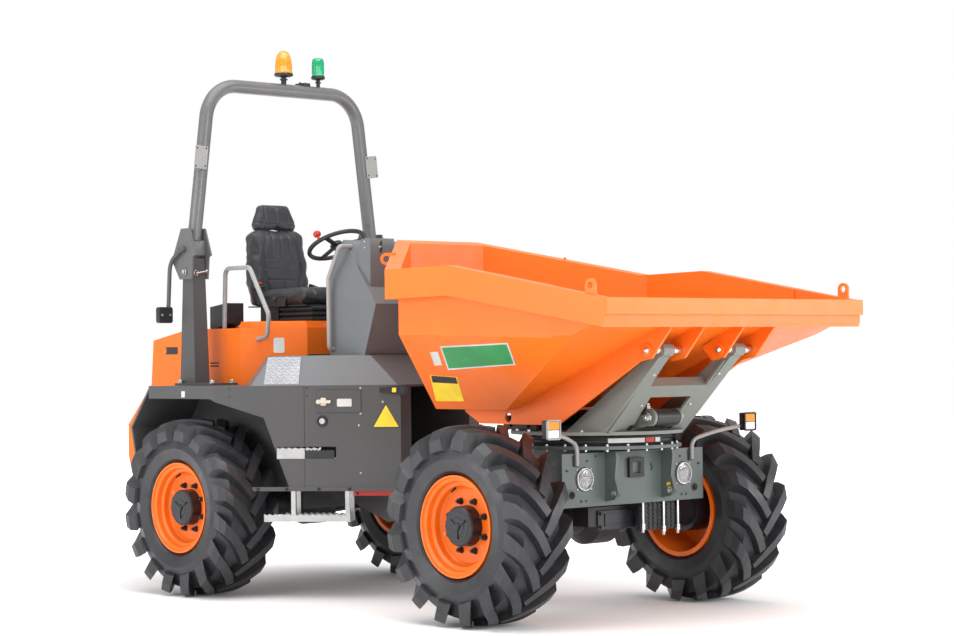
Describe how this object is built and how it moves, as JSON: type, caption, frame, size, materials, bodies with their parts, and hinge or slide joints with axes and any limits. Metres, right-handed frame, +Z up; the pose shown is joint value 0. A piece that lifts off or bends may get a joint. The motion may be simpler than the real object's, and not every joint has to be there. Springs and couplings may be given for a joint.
{
  "type": "articulated swivel-tip site dumper",
  "caption": "Articulated site dumper on large lugged tyres: driver and engine on the rear chassis, swivelling forward-tipping skip on the front one, folding roll hoop.",
  "frame": {"origin": "on the ground, at the centre of the whole machine's bounding box", "axes": "+X forwards, towards the skip's lip, +Y to the driver's left, +Z up"},
  "size_m": [4.45, 2.125, 3.344],
  "materials": {
    "orange_paint": "semi-gloss powder coat, orange",
    "grey_paint": "satin paint, dark warm grey",
    "frame_grey": "satin paint, grey green",
    "panel_grey": "satin paint, mid grey",
    "black_steel": "satin black paint",
    "rim_orange": "semi-gloss orange paint",
    "tyre_rubber": "black tyre rubber",
    "hub_black": "satin black paint",
    "seat_leatherette": "black leatherette",
    "black_plastic": "matt black plastic",
    "lamp_clear": "clear lens",
    "lamp_amber": "amber lens",
    "lamp_green": "green lens",
    "bright_steel": "bare steel",
    "rail_grey": "satin paint, light grey",
    "zinc_steel": "worn zinc-plated steel",
    "red_paint": "semi-gloss red paint"
  },
  "bodies": {
    "rear_chassis": {"rear_frame": "grey_paint", "rear_axle": "black_steel", "engine_block": "black_steel", "deck": "grey_paint", "side_body_left": "grey_paint", "side_body_right": "grey_paint", "seat_box": "orange_paint", "platform": "panel_grey", "console": "panel_grey", "steering_wheel": "black_plastic", "seat_base": "black_plastic", "seat_cushion": "seat_leatherette", "seat_back": "seat_leatherette", "rops_post_left": "grey_paint", "rops_post_right": "grey_paint", "headrest": "seat_leatherette", "air_intake": "black_plastic", "rear_bumper": "grey_paint", "lock_bar": "red_paint", "step_upper_left": "zinc_steel", "step_upper_right": "zinc_steel", "step_lower_left": "zinc_steel", "step_lower_right": "zinc_steel", "console_rail_left": "rail_grey", "console_rail_right": "rail_grey", "seat_rail_left": "rail_grey", "seat_rail_right": "rail_grey"},
    "front_chassis": {"front_frame": "frame_grey", "front_axle": "black_steel", "headlamp_left": "lamp_clear", "headlamp_right": "lamp_clear", "marker_lamp_left": "black_plastic", "marker_lamp_right": "black_plastic"},
    "turntable": {"slew_frame": "panel_grey"},
    "skip": {"skip": "orange_paint"},
    "tilt_barrel": {"tilt_cylinder_barrel": "black_steel"},
    "tilt_rod": {"tilt_cylinder_rod": "bright_steel"},
    "bonnet": {"bonnet": "orange_paint"},
    "rops": {"rops_hoop": "grey_paint", "beacon_amber": "lamp_amber", "beacon_green": "lamp_green", "rear_lamp_left": "black_plastic", "rear_lamp_right": "black_plastic"},
    "wheel_front_left": {"tyre_front_left": "tyre_rubber", "rim_front_left": "rim_orange", "hub_front_left": "hub_black"},
    "wheel_front_right": {"tyre_front_right": "tyre_rubber", "rim_front_right": "rim_orange", "hub_front_right": "hub_black"},
    "wheel_rear_left": {"tyre_rear_left": "tyre_rubber", "rim_rear_left": "rim_orange", "hub_rear_left": "hub_black"},
    "wheel_rear_right": {"tyre_rear_right": "tyre_rubber", "rim_rear_right": "rim_orange", "hub_rear_right": "hub_black"}
  },
  "joints": [
    {"name": "steering", "type": "hinge", "parent": "rear_chassis", "child": "front_chassis", "pos_m": [0.087, 0, 0.68], "axis": [0, 0, 1], "range_deg": [-32, 32]},
    {"name": "skip_swivel", "type": "hinge", "parent": "front_chassis", "child": "turntable", "pos_m": [1.177, 0, 0.95], "axis": [0, 0, 1], "range_deg": [-90, 90]},
    {"name": "skip_tilt", "type": "hinge", "parent": "turntable", "child": "skip", "pos_m": [1.937, 0, 1.428], "axis": [0, 1, 0], "range_deg": [0, 60]},
    {"name": "tilt_barrel_swing", "type": "hinge", "parent": "turntable", "child": "tilt_barrel", "pos_m": [1.667, 0, 1.072], "axis": [0, 1, 0], "range_deg": [-1, 64]},
    {"name": "tilt_rod_slide", "type": "slide", "parent": "tilt_barrel", "child": "tilt_rod", "axis": [-0.9998, 0, -0.0198], "range_m": [-0.005, 0.4535]},
    {"name": "bonnet_lid", "type": "hinge", "parent": "rear_chassis", "child": "bonnet", "pos_m": [-1.693, 0, 1.6], "axis": [0, -1, 0], "range_deg": [-45, 0]},
    {"name": "rops_fold", "type": "hinge", "parent": "rear_chassis", "child": "rops", "pos_m": [-1.528, 0, 1.935], "axis": [0, -1, 0], "range_deg": [0, 95]},
    {"name": "roll_front_left", "type": "hinge", "parent": "front_chassis", "child": "wheel_front_left", "pos_m": [1.137, 0.86, 0.525], "axis": [0, 1, 0], "continuous": true},
    {"name": "roll_front_right", "type": "hinge", "parent": "front_chassis", "child": "wheel_front_right", "pos_m": [1.137, -0.86, 0.525], "axis": [0, 1, 0], "continuous": true},
    {"name": "roll_rear_left", "type": "hinge", "parent": "rear_chassis", "child": "wheel_rear_left", "pos_m": [-1.285, 0.86, 0.525], "axis": [0, 1, 0], "continuous": true},
    {"name": "roll_rear_right", "type": "hinge", "parent": "rear_chassis", "child": "wheel_rear_right", "pos_m": [-1.285, -0.86, 0.525], "axis": [0, 1, 0], "continuous": true}
  ],
  "couplings": [
    {"joint": "tilt_barrel_swing", "follows": "skip_tilt", "ratio": 1.0424},
    {"joint": "tilt_rod_slide", "follows": "skip_tilt", "m_per_rad": 0.42356}
  ]
}
